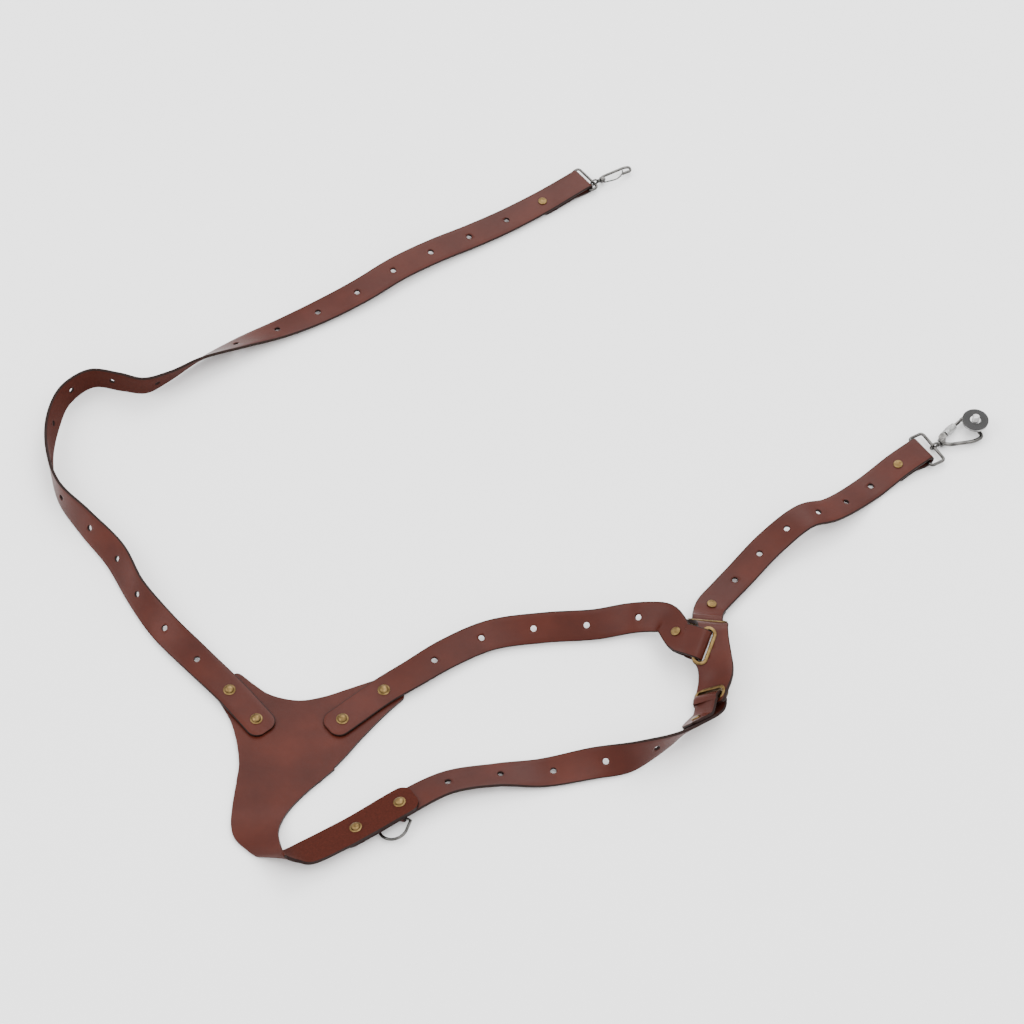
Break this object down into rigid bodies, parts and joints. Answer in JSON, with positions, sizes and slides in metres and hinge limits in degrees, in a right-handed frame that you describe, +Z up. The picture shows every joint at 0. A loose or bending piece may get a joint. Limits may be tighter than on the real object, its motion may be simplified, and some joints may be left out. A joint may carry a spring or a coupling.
{
  "type": "leather harness",
  "caption": "Leather shoulder harness: a Y-shaped yoke, riveted straps through a slotted connector, a swivel snap hook, and a locking carabiner with a screw plate.",
  "frame": {"origin": "middle of the footprint of the harness as it lies on a flat surface, at the surface", "axes": "+Z up from the surface that it lies on, +X towards the carabiner's end, +Y from the yoke towards the snap hook"},
  "size_m": [0.8046, 0.735, 0.0355],
  "materials": {
    "red_brown_leather": "smooth oiled grain, burnished dark edges",
    "aged_brass": "aged, soft sheen",
    "dark_nickel": "dark nickel plate, polished",
    "bright_steel": "brushed",
    "black_rubber": "matt, fine grain"
  },
  "bodies": {
    "harness": {"yoke": "red_brown_leather", "long_strap": "red_brown_leather", "upper_shoulder_strap": "red_brown_leather", "lower_shoulder_strap": "red_brown_leather", "connector": "red_brown_leather", "ring_tab": "red_brown_leather", "upper_slot_eyelet": "aged_brass", "upper_slot_washer": "aged_brass", "lower_slot_eyelet": "aged_brass", "lower_slot_washer": "aged_brass", "camera_slot_eyelet": "aged_brass", "camera_slot_washer": "aged_brass", "long_strap_rivet_1_cap": "aged_brass", "long_strap_rivet_1_post": "aged_brass", "long_strap_rivet_2_cap": "aged_brass", "long_strap_rivet_2_post": "aged_brass", "upper_strap_rivet_1_cap": "aged_brass", "upper_strap_rivet_1_post": "aged_brass", "upper_strap_rivet_2_cap": "aged_brass", "upper_strap_rivet_2_post": "aged_brass", "lower_strap_rivet_1_cap": "aged_brass", "lower_strap_rivet_1_post": "aged_brass", "lower_strap_rivet_2_cap": "aged_brass", "lower_strap_rivet_2_post": "aged_brass", "long_strap_stud_cap": "aged_brass", "long_strap_stud_screw": "aged_brass", "upper_strap_stud_cap": "aged_brass", "upper_strap_stud_screw": "aged_brass", "lower_strap_stud_cap": "aged_brass", "lower_strap_stud_screw": "aged_brass"},
    "d_ring": {"d_ring": "dark_nickel"},
    "snap_ring": {"snap_ring": "dark_nickel"},
    "snap_eye": {"snap_eye": "dark_nickel"},
    "snap_hook": {"snap_hook": "dark_nickel"},
    "snap_gate": {"snap_gate": "dark_nickel"},
    "camera_strap": {"camera_strap": "red_brown_leather", "camera_strap_stud_1_cap": "aged_brass", "camera_strap_stud_1_screw": "aged_brass", "camera_strap_stud_2_cap": "aged_brass", "camera_strap_stud_2_screw": "aged_brass"},
    "strap_ring": {"strap_ring": "dark_nickel"},
    "carabiner_eye": {"carabiner_eye": "dark_nickel"},
    "carabiner": {"carabiner_frame": "dark_nickel", "carabiner_gate_pin": "dark_nickel"},
    "gate": {"carabiner_gate": "dark_nickel"},
    "sleeve": {"lock_sleeve": "dark_nickel"},
    "link": {"plate_link": "dark_nickel"},
    "plate": {"camera_plate": "bright_steel", "rubber_pad": "black_rubber", "camera_screw": "bright_steel"}
  },
  "joints": [
    {"name": "d_ring_hinge", "type": "hinge", "parent": "harness", "child": "d_ring", "pos_m": [-0.09375, -0.31951, 0.00445], "axis": [0.9204, -0.3427, 0.1883], "range_deg": [-8, 70]},
    {"name": "snap_ring_hinge", "type": "hinge", "parent": "harness", "child": "snap_ring", "pos_m": [0.05842, 0.34773, 0.00507], "axis": [-0.6006, 0.7995, 0], "range_deg": [-60, 60]},
    {"name": "snap_eye_hinge", "type": "hinge", "parent": "snap_ring", "child": "snap_eye", "pos_m": [0.06962, 0.34614, 0.00539], "axis": [-0.423, 0.9061, 0], "range_deg": [-60, 60]},
    {"name": "snap_swivel", "type": "hinge", "parent": "snap_eye", "child": "snap_hook", "pos_m": [0.07018, 0.34656, 0.00542], "axis": [0.9059, 0.423, -0.02], "continuous": true},
    {"name": "snap_gate_hinge", "type": "hinge", "parent": "snap_hook", "child": "snap_gate", "pos_m": [0.07928, 0.34645, 0.00555], "axis": [0.0181, 0.0085, 0.9998], "range_deg": [0, 20], "stiffness_Nm_per_rad": 0.01, "springref_deg": -5.73},
    {"name": "camera_strap_hinge", "type": "hinge", "parent": "harness", "child": "camera_strap", "pos_m": [0.15213, -0.1448, 0.01181], "axis": [-0.9953, 0.0968, 0], "range_deg": [-60, 45]},
    {"name": "strap_ring_hinge", "type": "hinge", "parent": "camera_strap", "child": "strap_ring", "pos_m": [0.34184, 0.03251, 0.00592], "axis": [-0.5096, 0.8604, 0.0094], "range_deg": [-60, 60]},
    {"name": "carabiner_eye_hinge", "type": "hinge", "parent": "strap_ring", "child": "carabiner_eye", "pos_m": [0.35386, 0.03964, 0.00508], "axis": [-0.4939, 0.8695, 0], "range_deg": [-70, 70]},
    {"name": "carabiner_swivel", "type": "hinge", "parent": "carabiner_eye", "child": "carabiner", "pos_m": [0.35455, 0.04004, 0.00503], "axis": [0.8695, 0.4938, -0.01], "continuous": true},
    {"name": "carabiner_gate_hinge", "type": "hinge", "parent": "carabiner", "child": "gate", "pos_m": [0.36242, 0.05049, 0.00491], "axis": [0.0087, 0.0049, 1], "range_deg": [-22, 0], "stiffness_Nm_per_rad": 0.02, "springref_deg": 5.73},
    {"name": "lock_sleeve_slide", "type": "slide", "parent": "gate", "child": "sleeve", "axis": [0.7068, 0.7073, -0.0097], "range_m": [0, 0.005]},
    {"name": "plate_link_hinge", "type": "hinge", "parent": "carabiner", "child": "link", "pos_m": [0.39095, 0.06221, 0.0046], "axis": [-0.4939, 0.8695, 0], "range_deg": [-10, 100]},
    {"name": "camera_plate_spin", "type": "hinge", "parent": "link", "child": "plate", "pos_m": [0.39095, 0.06221, 0.0046], "axis": [0.0087, 0.0049, 1], "continuous": true}
  ]
}
